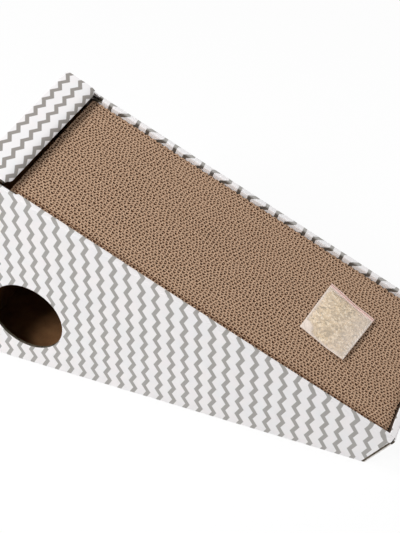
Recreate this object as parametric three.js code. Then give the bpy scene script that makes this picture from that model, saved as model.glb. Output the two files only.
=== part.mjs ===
// Inclined cardboard cat scratcher: folded carton, laminated corrugated pad, tucked ledge and catnip bag
// Millimetres, +Z up. X runs along the ramp with the toe at +X, the side with the paw hole faces -Y.
import * as THREE from 'three';
import { mergeVertices } from 'three/addons/utils/BufferGeometryUtils.js';

// Carton outline, seen from the side
const BASE_LENGTH = 470;
const CARTON_WIDTH = 200;
const APEX_HEIGHT = 256.5;
const APEX_INSET = 43;
const TOE_HEIGHT = 41.5;
const TOE_OVERHANG = 28;

// Board and its folds
const BOARD = 3;
const WALL_GAP = 1;
const CREASE_GAP = 0.3;
const RIM_DEPTH = 3.5;
const RIM_ROUND = 2;
const ROUND_SEGMENTS = 4;

// Paw hole in the near side, the same margin to the base and to the back edge
const HOLE_DIAMETER = 88;
const HOLE_MARGIN = 25;
const HOLE_SEGMENTS = 40;

// Ledge flap over the top of the ramp, sprung a little off the rims, its ends tapered towards the lip
const LEDGE_WIDTH = 41;
const LEDGE_REST_GAP = 0.7;
const LEDGE_SPRING_DEG = 4;
const LEDGE_SIDE_INSET = 0.5;
const LEDGE_TAPER = 4;
const LIP_DEPTH = 5.5;

// Glue tabs behind the back panel
const TAB_WIDTH = 34;
const TAB_FOOT = 12;
const TAB_TOP = 186;

// Corrugated pad, a stack of strips set on edge side by side
const STRIP_COUNT = 27;
const PAD_THICKNESS = 25;
const PAD_RECESS = 5;
const PAD_SIDE_CLEARANCE = 0.5;
const PAD_TOP_GAP = 1;
const PAD_TOE_GAP = 1.5;
const GLUE_GAP = 0.3;
const FLUTE_PITCH = 8.45;
const FLUTE_DEPTH = 3.1;
const FLUTE_STAGGER = 0.38;

// Shelves that carry the pad along both sides
const SHELF_WIDTH = 25;
const SEAT_GAP = 0.3;

// Catnip bag lying on the pad
const BAG_WIDTH = 56;
const BAG_LENGTH = 78;
const BAG_CROWN = 8;
const BAG_EDGE = 0.9;
const BAG_TURN_DEG = -8.8;
const BAG_FROM_TOE = 91.7;
const BAG_OFFSET = 6.4;
const ZIP_WIDTH = 4;
const ZIP_THICKNESS = 1.8;
const ZIP_FROM_EDGE = 1;
const POUCH_FULLNESS = 0.6;
const POUCH_STEPS = 10;

// Derived sizes
const WALL = 2 * BOARD + WALL_GAP;
const HALF_WIDTH = CARTON_WIDTH / 2;
const INNER_HALF = HALF_WIDTH - WALL;
const SHELF_DEPTH = PAD_RECESS + PAD_THICKNESS + SEAT_GAP;
const LEDGE_RISE = BOARD + LEDGE_REST_GAP;

// Corners of the side outline, counter-clockwise from the back foot
const backFoot = new THREE.Vector2(0, 0);
const frontFoot = new THREE.Vector2(BASE_LENGTH, 0);
const toe = new THREE.Vector2(BASE_LENGTH + TOE_OVERHANG, TOE_HEIGHT);
const apex = new THREE.Vector2(APEX_INSET, APEX_HEIGHT);
const slope = toe.clone().sub(apex).normalize();
const RAMP_ANGLE = Math.atan2(-slope.y, slope.x);

// A straight line in the side view: a point and a unit direction
const lineThrough = (point, direction) => ({ point, direction: direction.clone().normalize() });

// The line from p to q moved to its left, which is inward on the carton outline
function inset(p, q, distance) {
  const direction = q.clone().sub(p).normalize();
  const inward = new THREE.Vector2(-direction.y, direction.x);
  return lineThrough(p.clone().addScaledVector(inward, distance), direction);
}

// Crossing point of two lines
function meet(a, b) {
  const between = b.point.clone().sub(a.point);
  const along = between.cross(b.direction) / a.direction.cross(b.direction);
  return a.point.clone().addScaledVector(a.direction, along);
}

const baseLine = (distance) => inset(backFoot, frontFoot, distance);
const frontLine = (distance) => inset(frontFoot, toe, distance);
const rampLine = (depth) => inset(toe, apex, depth);
const backLine = (distance) => inset(apex, backFoot, distance);
const alongSlope = (point) => point.clone().sub(apex).dot(slope);

// The rounded toe stops a little short of its sharp corner; the whole outline is centred on its length
const OVERALL_LENGTH = meet(frontLine(RIM_ROUND), rampLine(RIM_ROUND)).x + RIM_ROUND;
for (const corner of [backFoot, frontFoot, toe, apex]) corner.x -= OVERALL_LENGTH / 2;

// Corners where four lines meet in turn, as a closed outline
function outlineOf(...lines) {
  return lines.map((line, i) => meet(line, lines[(i + 1) % lines.length]));
}

// Side-view outline pushed across the carton from yFrom to yTo
function across(shape, yFrom, yTo) {
  const options = { depth: yTo - yFrom, bevelEnabled: false, curveSegments: ROUND_SEGMENTS };
  const geometry = new THREE.ExtrudeGeometry(shape, options);
  geometry.rotateX(Math.PI / 2);
  geometry.translate(0, yTo, 0);
  return geometry;
}

// Double-creased rim that joins the two boards of a wall: flat top, rounded corners, slot between the boards
function rimShape(middle) {
  const side = WALL / 2;
  const shape = new THREE.Shape();
  shape.moveTo(middle + side, -RIM_DEPTH);
  shape.absarc(middle + side - RIM_ROUND, -RIM_ROUND, RIM_ROUND, 0, Math.PI / 2, false);
  shape.absarc(middle - side + RIM_ROUND, -RIM_ROUND, RIM_ROUND, Math.PI / 2, Math.PI, false);
  shape.lineTo(middle - side, -RIM_DEPTH);
  shape.absarc(middle, -RIM_DEPTH, WALL_GAP / 2, Math.PI, 0, true);
  shape.closePath();
  return shape;
}

const printedBoard = new THREE.MeshStandardMaterial({ color: 0xeeecf0, roughness: 0.55, metalness: 0 });
const kraftBoard = new THREE.MeshStandardMaterial({ color: 0xa8865f, roughness: 0.9, metalness: 0 });
const flutedPaper = new THREE.MeshStandardMaterial({ color: 0xa98d74, roughness: 0.95, metalness: 0 });
const bagFilm = new THREE.MeshStandardMaterial({ color: 0xd8c9b0, roughness: 0.35, metalness: 0 });
const zipPlastic = new THREE.MeshStandardMaterial({ color: 0xcd9f96, roughness: 0.4, metalness: 0 });

const ramp = new THREE.Group();

function addPiece(parent, name, geometry, material) {
  const mesh = new THREE.Mesh(geometry, material);
  mesh.name = name;
  parent.add(mesh);
}

// Base panel between the side panels
function addBase() {
  const outline = outlineOf(
    baseLine(0), frontLine(BOARD + CREASE_GAP), baseLine(BOARD), backLine(BOARD + CREASE_GAP));
  const reach = HALF_WIDTH - BOARD - CREASE_GAP;
  addPiece(ramp, 'base_panel', across(new THREE.Shape(outline), -reach, reach), printedBoard);
}

// Outer side panel, a tapering plate that ends under the rolled rim
function sidePanelShape() {
  return new THREE.Shape(outlineOf(
    baseLine(0), frontLine(BOARD + CREASE_GAP),
    rampLine(RIM_DEPTH + CREASE_GAP), backLine(BOARD + CREASE_GAP)));
}

// Round paw hole set by its margin to the base and to the back edge
function pawHole() {
  const reach = HOLE_DIAMETER / 2 + HOLE_MARGIN;
  const centre = meet(baseLine(reach), backLine(reach));
  const path = new THREE.Path();
  for (let i = 0; i < HOLE_SEGMENTS; i++) {
    const turn = -2 * Math.PI * i / HOLE_SEGMENTS;
    const x = centre.x + HOLE_DIAMETER / 2 * Math.cos(turn);
    const z = centre.y + HOLE_DIAMETER / 2 * Math.sin(turn);
    if (i === 0) path.moveTo(x, z);
    else path.lineTo(x, z);
  }
  path.closePath();
  return path;
}

function addSidePanels() {
  const nearShape = sidePanelShape();
  nearShape.holes.push(pawHole());
  const near = across(nearShape, -HALF_WIDTH, -HALF_WIDTH + BOARD);
  const far = across(sidePanelShape(), HALF_WIDTH - BOARD, HALF_WIDTH);
  addPiece(ramp, 'near_side_panel', near, printedBoard);
  addPiece(ramp, 'far_side_panel', far, printedBoard);
}

// Block of the front rim between two distances from the wall's face, with one of its upper edges rounded
function frontRimShape(from, to, roundOuter) {
  const wall = frontLine(0).direction;
  const wallFacing = Math.atan2(-wall.x, wall.y);
  const rampFacing = Math.atan2(slope.x, -slope.y);
  const shape = new THREE.Shape();
  const goTo = (point) => shape.lineTo(point.x, point.y);
  const roundOff = (distance, startAngle, endAngle) => {
    const centre = meet(frontLine(distance), rampLine(RIM_ROUND));
    shape.absarc(centre.x, centre.y, RIM_ROUND, startAngle, endAngle, false);
  };
  const first = meet(frontLine(from), rampLine(RIM_DEPTH));
  shape.moveTo(first.x, first.y);
  if (roundOuter) roundOff(from + RIM_ROUND, wallFacing, rampFacing);
  else goTo(meet(frontLine(from), rampLine(0)));
  if (roundOuter) goTo(meet(frontLine(to), rampLine(0)));
  else roundOff(to - RIM_ROUND, rampFacing, wallFacing + Math.PI);
  goTo(meet(frontLine(to), rampLine(RIM_DEPTH)));
  shape.closePath();
  return shape;
}

// Front wall: outer panel and its rim over the full width, the rim's return and the inner flap between the sides
function addFrontWall() {
  const topCut = rampLine(RIM_DEPTH + CREASE_GAP);
  const reach = INNER_HALF - CREASE_GAP;

  const panel = outlineOf(baseLine(0), frontLine(0), topCut, frontLine(BOARD));
  addPiece(ramp, 'front_panel', across(new THREE.Shape(panel), -HALF_WIDTH, HALF_WIDTH), printedBoard);

  const rim = frontRimShape(0, BOARD, true);
  addPiece(ramp, 'front_rim_fold', across(rim, -HALF_WIDTH, HALF_WIDTH), printedBoard);

  const back = frontRimShape(BOARD + CREASE_GAP, WALL, false);
  addPiece(ramp, 'front_rim_return', across(back, -reach, reach), printedBoard);

  const flap = outlineOf(
    baseLine(BOARD + CREASE_GAP), frontLine(BOARD + WALL_GAP), topCut, frontLine(WALL));
  addPiece(ramp, 'front_inner_flap', across(new THREE.Shape(flap), -reach, reach), printedBoard);
}

// Rim along the top of a side, in the ramp's own axes: x down the slope, y across, z square to it
function rimFoldGeometry(middleY) {
  const start = alongSlope(meet(rampLine(RIM_DEPTH), backLine(BOARD + CREASE_GAP)));
  const frontAt = (depth) => alongSlope(meet(rampLine(depth), frontLine(BOARD + CREASE_GAP)));
  const end = Math.min(frontAt(0), frontAt(RIM_DEPTH));
  const options = { depth: end - start, bevelEnabled: false, curveSegments: ROUND_SEGMENTS };
  const geometry = new THREE.ExtrudeGeometry(rimShape(middleY), options);
  const y = new THREE.Vector3(0, 1, 0);
  const z = new THREE.Vector3(0, 0, 1);
  const x = new THREE.Vector3(1, 0, 0);
  geometry.applyMatrix4(new THREE.Matrix4().makeBasis(y, z, x));
  geometry.translate(start, 0, 0);
  return geometry;
}

// Flap that hangs inside a side panel from the rolled rim, and the shelf folded in from its foot
function addInnerFlaps(rampFrame) {
  const flap = new THREE.Shape(outlineOf(
    rampLine(SHELF_DEPTH - CREASE_GAP), frontLine(BOARD + CREASE_GAP),
    rampLine(RIM_DEPTH + CREASE_GAP), backLine(BOARD + CREASE_GAP)));
  const shelf = new THREE.Shape(outlineOf(
    rampLine(SHELF_DEPTH + BOARD), frontLine(WALL + CREASE_GAP),
    rampLine(SHELF_DEPTH), backLine(BOARD + CREASE_GAP)));
  const sides = [['near', -1], ['far', 1]];
  for (const [name, sign] of sides) {
    const outer = INNER_HALF + BOARD;
    const span = (a, b) => [Math.min(sign * a, sign * b), Math.max(sign * a, sign * b)];
    addPiece(rampFrame, `${name}_rim_fold`, rimFoldGeometry(sign * (HALF_WIDTH - WALL / 2)), printedBoard);
    addPiece(ramp, `${name}_inner_flap`, across(flap, ...span(INNER_HALF, outer)), printedBoard);
    addPiece(ramp, `${name}_pad_shelf`, across(shelf, ...span(INNER_HALF - SHELF_WIDTH, outer)), kraftBoard);
  }
}

// Ledge flap folded forward from the top of the back panel, with its turned-down lip, and the back panel itself
function addBackAndLedge() {
  const crease = meet(rampLine(-LEDGE_RISE), backLine(0));
  const tilt = RAMP_ANGLE - THREE.MathUtils.degToRad(LEDGE_SPRING_DEG);
  const forward = new THREE.Vector2(Math.cos(tilt), -Math.sin(tilt));
  const down = new THREE.Vector2(forward.y, -forward.x);
  const ledgeLine = (depth) => lineThrough(crease.clone().addScaledVector(down, depth), forward);
  const fold = crease.clone().addScaledVector(forward, LEDGE_WIDTH);
  const foldLine = (back) => lineThrough(fold.clone().addScaledVector(forward, -back), down);
  const reach = HALF_WIDTH - LEDGE_SIDE_INSET;

  // the ends come in evenly from the crease to the fold
  const tapered = (outline) => {
    const geometry = across(new THREE.Shape(outline), -reach, reach);
    const place = geometry.attributes.position;
    for (let i = 0; i < place.count; i++) {
      const from = new THREE.Vector2(place.getX(i), place.getZ(i)).sub(crease);
      const loss = LEDGE_TAPER * from.dot(forward) / LEDGE_WIDTH;
      place.setY(i, place.getY(i) * (1 - loss / reach));
    }
    geometry.computeVertexNormals();
    return geometry;
  };

  const ledge = outlineOf(ledgeLine(BOARD), foldLine(0), ledgeLine(0), backLine(0));
  addPiece(ramp, 'top_ledge', tapered(ledge), printedBoard);

  const lip = outlineOf(ledgeLine(LIP_DEPTH), foldLine(0), ledgeLine(BOARD + CREASE_GAP), foldLine(BOARD));
  addPiece(ramp, 'ledge_lip', tapered(lip), printedBoard);

  const panel = outlineOf(baseLine(0), backLine(BOARD), ledgeLine(BOARD + CREASE_GAP), backLine(0));
  addPiece(ramp, 'back_panel', across(new THREE.Shape(panel), -HALF_WIDTH, HALF_WIDTH), printedBoard);
  return fold;
}

// Tabs folded in from the side panels and glued to the inside of the back panel
function addBackTabs() {
  const tab = new THREE.Shape(outlineOf(
    baseLine(TAB_FOOT), backLine(2 * BOARD + CREASE_GAP), baseLine(TAB_TOP), backLine(BOARD + CREASE_GAP)));
  const root = HALF_WIDTH - BOARD - CREASE_GAP;
  addPiece(ramp, 'near_back_tab', across(tab, -root, -root + TAB_WIDTH), kraftBoard);
  addPiece(ramp, 'far_back_tab', across(tab, root - TAB_WIDTH, root), kraftBoard);
}

// Depth of the flutes at x: a triangle wave between the crest, 0, and the valley, FLUTE_DEPTH
function fluteDepth(x, phase) {
  const turn = x / FLUTE_PITCH + phase;
  return 2 * FLUTE_DEPTH * Math.abs(turn - Math.round(turn));
}

// One strip on edge: flat liner on one long side, open flutes along the other
function stripGeometry(length, width, phase) {
  const points = [new THREE.Vector2(0, 0), new THREE.Vector2(length, 0)];
  points.push(new THREE.Vector2(length, width - fluteDepth(length, phase)));
  const firstBend = Math.ceil(2 * phase);
  const lastBend = Math.floor(2 * (length / FLUTE_PITCH + phase));
  for (let bend = lastBend; bend >= firstBend; bend--) {
    const x = (bend / 2 - phase) * FLUTE_PITCH;
    const clearOfEnds = x > GLUE_GAP && x < length - GLUE_GAP;
    if (clearOfEnds) points.push(new THREE.Vector2(x, width - fluteDepth(x, phase)));
  }
  points.push(new THREE.Vector2(0, width - fluteDepth(0, phase)));
  const options = { depth: PAD_THICKNESS, bevelEnabled: false };
  return new THREE.ExtrudeGeometry(new THREE.Shape(points), options);
}

function addPad(rampFrame, ledgeFold) {
  const start = alongSlope(ledgeFold) + PAD_TOP_GAP;
  const frontInside = (depth) => alongSlope(meet(rampLine(depth), frontLine(WALL)));
  const end = Math.min(frontInside(PAD_RECESS), frontInside(PAD_RECESS + PAD_THICKNESS)) - PAD_TOE_GAP;
  const padWidth = 2 * (INNER_HALF - PAD_SIDE_CLEARANCE);
  const pitch = (padWidth + GLUE_GAP) / STRIP_COUNT;
  for (let i = 0; i < STRIP_COUNT; i++) {
    const phase = (i * FLUTE_STAGGER) % 1;
    const geometry = stripGeometry(end - start, pitch - GLUE_GAP, phase);
    geometry.translate(start, -padWidth / 2 + i * pitch, -PAD_RECESS - PAD_THICKNESS);
    addPiece(rampFrame, `pad_strip_${String(i + 1).padStart(2, '0')}`, geometry, flutedPaper);
  }
  return end;
}

// Filled pouch: flat underside, crowned top that thins to the seams on all four edges
function pouchGeometry(width, length) {
  const row = POUCH_STEPS + 1;
  const positions = [];
  const indices = [];
  for (const top of [false, true]) {
    for (let j = 0; j < row; j++) {
      for (let i = 0; i < row; i++) {
        const u = 2 * i / POUCH_STEPS - 1;
        const v = 2 * j / POUCH_STEPS - 1;
        const swell = Math.pow((1 - u * u) * (1 - v * v), POUCH_FULLNESS);
        const height = top ? BAG_EDGE + (BAG_CROWN - BAG_EDGE) * swell : 0;
        positions.push(u * width / 2, v * length / 2, height);
      }
    }
  }
  const layer = row * row;
  const addQuad = (a, b, c, d) => indices.push(a, b, c, a, c, d);
  for (let j = 0; j < POUCH_STEPS; j++) {
    for (let i = 0; i < POUCH_STEPS; i++) {
      const a = j * row + i;
      addQuad(a, a + row, a + row + 1, a + 1);
      addQuad(layer + a, layer + a + 1, layer + a + row + 1, layer + a + row);
    }
  }
  for (let i = 0; i < POUCH_STEPS; i++) {
    const lastRow = POUCH_STEPS * row;
    addQuad(i, i + 1, layer + i + 1, layer + i);
    addQuad(lastRow + i + 1, lastRow + i, layer + lastRow + i, layer + lastRow + i + 1);
    addQuad((i + 1) * row, i * row, layer + i * row, layer + (i + 1) * row);
    const right = i * row + POUCH_STEPS;
    addQuad(right, right + row, layer + right + row, layer + right);
  }
  const geometry = new THREE.BufferGeometry();
  geometry.setAttribute('position', new THREE.Float32BufferAttribute(positions, 3));
  geometry.setIndex(indices);
  const closed = mergeVertices(geometry);
  closed.computeVertexNormals();
  return closed;
}

// Zip bag on the pad, in axes along its zip and along its length
function addBag(rampFrame, padEnd) {
  const bag = new THREE.Group();
  bag.position.set(padEnd - BAG_FROM_TOE, BAG_OFFSET, -PAD_RECESS + SEAT_GAP);
  bag.rotation.z = THREE.MathUtils.degToRad(BAG_TURN_DEG);
  rampFrame.add(bag);
  const zipFar = BAG_LENGTH / 2 - ZIP_FROM_EDGE;
  const zipNear = zipFar - ZIP_WIDTH;
  const pouchFar = zipNear - CREASE_GAP;
  const pouchLength = pouchFar + BAG_LENGTH / 2;

  const pouch = pouchGeometry(BAG_WIDTH, pouchLength);
  pouch.translate(0, pouchFar - pouchLength / 2, 0);
  addPiece(bag, 'catnip_pouch', pouch, bagFilm);

  const zip = new THREE.BoxGeometry(BAG_WIDTH, ZIP_WIDTH, ZIP_THICKNESS);
  zip.translate(0, (zipNear + zipFar) / 2, ZIP_THICKNESS / 2);
  addPiece(bag, 'bag_zip', zip, zipPlastic);
}

const rampFrame = new THREE.Group();
rampFrame.position.set(apex.x, 0, apex.y);
rampFrame.rotation.y = RAMP_ANGLE;
ramp.add(rampFrame);

addBase();
addSidePanels();
addFrontWall();
addInnerFlaps(rampFrame);
const ledgeFold = addBackAndLedge();
addBackTabs();
const padEnd = addPad(rampFrame, ledgeFold);
addBag(rampFrame, padEnd);

export default ramp;
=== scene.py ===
# Looks for the cardboard cat scratcher ramp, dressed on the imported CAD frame
import math
import bmesh
import bpy
import numpy as np
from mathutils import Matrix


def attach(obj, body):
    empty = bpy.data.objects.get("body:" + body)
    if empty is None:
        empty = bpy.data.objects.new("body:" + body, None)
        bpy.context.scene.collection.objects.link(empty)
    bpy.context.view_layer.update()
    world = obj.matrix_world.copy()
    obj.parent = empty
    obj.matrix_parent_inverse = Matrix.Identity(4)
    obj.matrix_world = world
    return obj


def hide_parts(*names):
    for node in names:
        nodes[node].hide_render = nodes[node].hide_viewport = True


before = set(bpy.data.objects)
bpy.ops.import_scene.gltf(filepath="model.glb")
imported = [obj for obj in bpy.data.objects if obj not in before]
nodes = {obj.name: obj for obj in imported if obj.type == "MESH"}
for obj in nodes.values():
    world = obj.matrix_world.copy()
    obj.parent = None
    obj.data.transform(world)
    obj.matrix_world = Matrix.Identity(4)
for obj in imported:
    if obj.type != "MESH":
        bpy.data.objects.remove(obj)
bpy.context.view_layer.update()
scene = bpy.context.scene
scene.view_settings.view_transform = "Standard"
mm = 0.001
rng = np.random.default_rng(11)

# the carton's side outline, the same corners as in the CAD, all in mm
carton = {
    "apex": (-205.5195, 256.5),
    "toe": (249.4805, 41.5),
    "backFoot": (-248.5195, 0.0),
    "frontFoot": (221.4805, 0.0),
    "halfWidth": 100.0,
    "board": 3.0,
    "wall": 7.0,
    "rimDepth": 3.5,
    "rimRound": 2.0,
}
apex, toe, backFoot, frontFoot = (np.array(carton[key]) for key in ("apex", "toe", "backFoot", "frontFoot"))
ways = (toe - apex, backFoot - apex, toe - frontFoot)
slope, backDown, frontUp = (way / np.linalg.norm(way) for way in ways)
normal = np.array([-slope[1], slope[0]])
rampAngle = math.atan2(-slope[1], slope[0])
backOutward = np.array([backDown[1], -backDown[0]])
frontOutward = np.array([frontUp[1], -frontUp[0]])


def toSpace(flat):  # a direction of the side outline as x, y and z
    return (flat[0], 0.0, flat[1])


def toLinear(hexCode):  # sRGB hex to the linear rgba that the sockets take
    c = np.array([int(hexCode[i:i + 2], 16) for i in (0, 2, 4)]) / 255
    linear = np.where(c <= 0.04045, c / 12.92, ((c + 0.055) / 1.055) ** 2.4)
    return (*linear.tolist(), 1.0)


def addNode(tree, kind, inputs=None, **settings):  # one node, its settings, then its values and links
    node = tree.nodes.new("ShaderNode" + kind)
    for key, value in settings.items():
        setattr(node, key, value)
    for key, value in (inputs or {}).items():
        if isinstance(value, bpy.types.NodeSocket):
            tree.links.new(value, node.inputs[key])
        else:
            node.inputs[key].default_value = value
    return node


def addMath(tree, operation, *values):
    return addNode(tree, "Math", dict(enumerate(values)), operation=operation).outputs[0]


def addDot(tree, vector, direction):
    return addNode(tree, "VectorMath", {0: vector, 1: direction}, operation="DOT_PRODUCT").outputs["Value"]


def addRange(tree, value, low, high, newLow=0.0, newHigh=1.0, **settings):  # clamped
    inputs = {"Value": value, "From Min": low, "From Max": high, "To Min": newLow, "To Max": newHigh}
    return addNode(tree, "MapRange", inputs, **settings).outputs[0]


def addMix(tree, share, first, second):  # hex codes or sockets; a share of 1 is all of the second
    first, second = (toLinear(c) if isinstance(c, str) else c for c in (first, second))
    return addNode(tree, "Mix", {0: share, 6: first, 7: second}, data_type="RGBA").outputs[2]


def addNoise(tree, position, size, detail, rough=0.5, output="Fac"):  # size in mm
    inputs = {"Vector": position, "Scale": 1 / (size * mm), "Detail": detail, "Roughness": rough}
    return addNode(tree, "TexNoise", inputs).outputs[output]


def addTone(tree):  # the value that a piece's own points carry
    return addNode(tree, "Attribute", attribute_name="tone", attribute_type="GEOMETRY").outputs["Fac"]


def addBump(tree, height, strength, depth):  # depth in mm
    inputs = {"Strength": strength, "Distance": depth * mm, "Height": height}
    return addNode(tree, "Bump", inputs).outputs["Normal"]


def addSurface(tree, inputs):
    shader = addNode(tree, "BsdfPrincipled", inputs)
    addNode(tree, "OutputMaterial", {"Surface": shader.outputs[0]})


def newMaterial(name):
    material = bpy.data.materials.new(name)
    material.use_nodes = True
    tree = material.node_tree
    tree.nodes.clear()
    return material, tree


def mappedMaterial(name):  # with places and face directions in the piece's own axes
    material, tree = newMaterial(name)
    coord = addNode(tree, "TexCoord").outputs
    return material, tree, coord["Object"], coord["Normal"]


def smoothStep(x, start, run):  # 0 up to the start, 1 past the run, an even s-curve between
    x = np.clip((x - start) / run, 0, 1)
    return x * x * (3 - 2 * x)


def wander(t, seed, waves, damp):  # a slow drift, sines of a few long wavelengths, longer ones stronger
    phases = np.random.default_rng(seed).uniform(0, 2 * math.pi, len(waves))
    return sum(np.sin(2 * math.pi * t / w + p) / (i + damp) for i, (w, p) in enumerate(zip(waves, phases)))


def placed(origin, a, first, b, second, y):  # origin + a and b along two directions of the outline, y across
    x = origin[0] + a * first[0] + b * second[0]
    z = origin[1] + a * first[1] + b * second[1]
    return np.stack(np.broadcast_arrays(x, y, z), -1) * mm


def onRamp(s, y, n):  # s down the slope from the apex, n square to it
    return placed(apex, s, slope, n, normal, y)


def gridQuads(rows, cols, closeCols=False):  # corner numbers of every cell of a rows by cols grid
    index = np.arange(rows * cols).reshape(rows, cols)
    if closeCols:
        index = np.concatenate([index, index[:, :1]], 1)
    return np.stack([index[:-1, :-1], index[:-1, 1:], index[1:, 1:], index[1:, :-1]], -1).reshape(-1, 4)


def tubeQuads(rows, ring):  # a closed section carried along rows, with a cap on both ends
    i = np.arange(ring // 2 - 1)
    cap = np.stack([i, i + 1, ring - 2 - i, ring - 1 - i], -1)
    return np.concatenate([gridQuads(rows, ring, closeCols=True), cap, cap[:, ::-1] + (rows - 1) * ring])


def lengthsAlong(line):  # the way walked along a line, at each of its points
    return np.concatenate([[0.0], np.cumsum(np.linalg.norm(np.diff(line, axis=0), axis=1))])


def makePiece(name, points, quads, materials, faceMaterial=None, uv=None, tone=None, smooth=True):
    mesh = bpy.data.meshes.new(name)
    mesh.vertices.add(len(points))
    mesh.vertices.foreach_set("co", np.asarray(points, np.float32).ravel())
    mesh.loops.add(quads.size)
    mesh.loops.foreach_set("vertex_index", quads.astype(np.int32).ravel())
    mesh.polygons.add(len(quads))
    mesh.polygons.foreach_set("loop_start", np.arange(0, quads.size, 4, dtype=np.int32))
    mesh.polygons.foreach_set("use_smooth", np.full(len(quads), smooth))
    for material in materials:
        mesh.materials.append(material)
    if faceMaterial is not None:
        mesh.polygons.foreach_set("material_index", faceMaterial.astype(np.int32))
    if uv is not None:
        layer = mesh.uv_layers.new(name="blank")
        layer.data.foreach_set("uv", np.asarray(uv, np.float32)[quads.ravel()].ravel())
    if tone is not None:
        attribute = mesh.attributes.new("tone", "FLOAT", "POINT")
        attribute.data.foreach_set("value", np.asarray(tone, np.float32))
    mesh.update(calc_edges=True)
    piece = bpy.data.objects.new(name, mesh)
    scene.collection.objects.link(piece)
    return piece


def turnOutward(piece, sharpDegrees=None):  # turns a closed shell's faces outwards and keeps its folds sharp
    work = bmesh.new()
    work.from_mesh(piece.data)
    bmesh.ops.recalc_face_normals(work, faces=work.faces)
    if sharpDegrees is not None:
        limit = math.radians(sharpDegrees)
        for edge in work.edges:
            edge.smooth = len(edge.link_faces) == 2 and edge.calc_face_angle() < limit
    work.to_mesh(piece.data)
    work.free()


# the print: zigzag lines in pale grey, drawn from real sizes on the flat sheet
zigzag = {
    "pitch": 15.5,  # from one line to the next, mm
    "wave": 18.127,  # length of one zig and zag along the line, mm
    "swing": 0.168,  # half the zigzag's width, in pitches
    "halfLine": 0.167,  # half a line's width, in pitches
    "soft": 0.025,  # ink edge, in pitches
    "ink": "a29f9b",
    "inkLedge": "928d88",  # the ledge's lines are drawn darker than the sides'
    "inkInside": "5d5751",  # lines drawn darker on the parts that fold inwards
    "paper": "f0ecec",
    "paperCool": "ecebec",  # the coating varies between the two
    "tilt": math.radians(1.0),  # the sheet was cut a little askew to its print
    "nearStart": (121.230, 5.168),  # where the lines' count starts on the near side, mm
    "farStart": (122.16, 0.90),
    "backLine": 6.15,  # from the back crease to the ledge's first line, mm
    "frontLine": 4.5,  # from the toe down to the front wall's first line, mm
    "stripStart": 84.6,  # where a line's zigzag starts on the middle strip, across the carton, mm
}


def zigzagMask(tree, across, along):
    # a triangle wave along the line shifts it sideways; the ink is where the nearest line is close
    turns = addMath(tree, "MULTIPLY", along, 1 / (zigzag["wave"] * mm))
    wave = addMath(tree, "PINGPONG", turns, 0.5)
    count = addMath(tree, "MULTIPLY", across, 1 / (zigzag["pitch"] * mm))
    pushed = addMath(tree, "MULTIPLY_ADD", wave, 4 * zigzag["swing"], count)
    offset = addMath(tree, "ADD", pushed, -zigzag["swing"])
    distance = addMath(tree, "PINGPONG", offset, 0.5)
    low, high = zigzag["halfLine"] - zigzag["soft"], zigzag["halfLine"] + zigzag["soft"]
    return addRange(tree, distance, low, high, 1.0, 0.0, interpolation_type="SMOOTHSTEP")


def faceMask(tree, normals, direction, least):  # 1 where the face looks along direction
    return addMath(tree, "GREATER_THAN", addDot(tree, normals, direction), least)


# Clay-coated white-top liner on corrugated board: satin white face with flexo ink, brown kraft behind,
# and cut edges where the flutes show as a brown line broken by painted shade in the flute openings.
board = {
    "paperRough": 0.46,
    "rawRough": 0.9,
    "edgeRough": 0.95,
    "kraft": "946b46",
    "kraftDark": "704d30",
    "linerShade": "3a2b1f",
    # painted deep shade: a near-black brown for board faces in the dark gap at the pad's toe end
    "edge": "5c5447",
    # cut edge tone, partly darkened by the painted shade of its flute openings
    "fluteHoleShade": "15110d",
    "edgeLiner": "dedad6",  # the white-top liner, seen edge on along a cut
    "linerShare": 1.2,  # how much of a cut edge it takes up, mm
    "flute": 6.5,  # B flute along a cut edge, mm
    "mottle": 22.0,  # cloudiness of the coating, mm
    "inkSpot": 0.8,  # flexo ink lies in fine spots, mm
    "inkLift": 1.06,  # how much lighter the thin spots are
    "fibre": 1.2,  # kraft fibres drawn 4 times as coarse as real ones, so that they show, mm
    "fibreShare": 0.6,
    "grain": 0.6,  # paper grain, mm
    "cloudRange": (0.3, 0.7),  # the values of each pattern between its two tones
    "spotRange": (0.35, 0.65),
    "fibreRange": (0.55, 1.05),
    "holeRange": (0.2, 0.5),
    "inwardRange": (0.2, 0.95),
    "facing": 0.7,  # a face counts as a panel's outside or inside from this cosine on
    "sharp": 40,  # folds stay sharp from this angle on, degrees
}


def printColour(tree, position, ink, inkHex):
    cloud = addRange(tree, addNoise(tree, position, board["mottle"], detail=3.0), *board["cloudRange"])
    spots = addRange(tree, addNoise(tree, position, board["inkSpot"], detail=2.0), *board["spotRange"])
    paper = addMix(tree, cloud, zigzag["paper"], zigzag["paperCool"])
    light = [min(board["inkLift"] * c, 1.0) for c in toLinear(inkHex)]
    return addMix(tree, ink, paper, addMix(tree, spots, inkHex, light))


def kraftColour(tree, position):
    fibre = addNoise(tree, position, board["fibre"], detail=4.0, rough=0.65)
    cloud = addNoise(tree, position, board["mottle"], detail=2.0)
    both = addMath(tree, "MULTIPLY_ADD", fibre, board["fibreShare"], cloud)
    return addMix(tree, addRange(tree, both, *board["fibreRange"]), board["kraftDark"], board["kraft"])


def linerShadeColour(tree, position):  # one even tone, painted deep shade
    return toLinear(board["linerShade"])


def edgeColour(tree, position):  # painted shade in the openings between the flutes, one every half flute
    cells = addNode(tree, "TexVoronoi", {"Vector": position, "Scale": 2 / (board["flute"] * mm)})
    tone = addRange(tree, cells.outputs["Distance"], *board["holeRange"])
    return addMix(tree, tone, board["fluteHoleShade"], board["edge"])


def frontEdge(tree, position):  # the front wall's cut end: its white liner lies along the outer face
    face = (toe @ frontOutward - board["linerShare"]) * mm
    liner = addMath(tree, "GREATER_THAN", addDot(tree, position, toSpace(frontOutward)), face)
    return addMix(tree, liner, edgeColour(tree, position), board["edgeLiner"])


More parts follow.
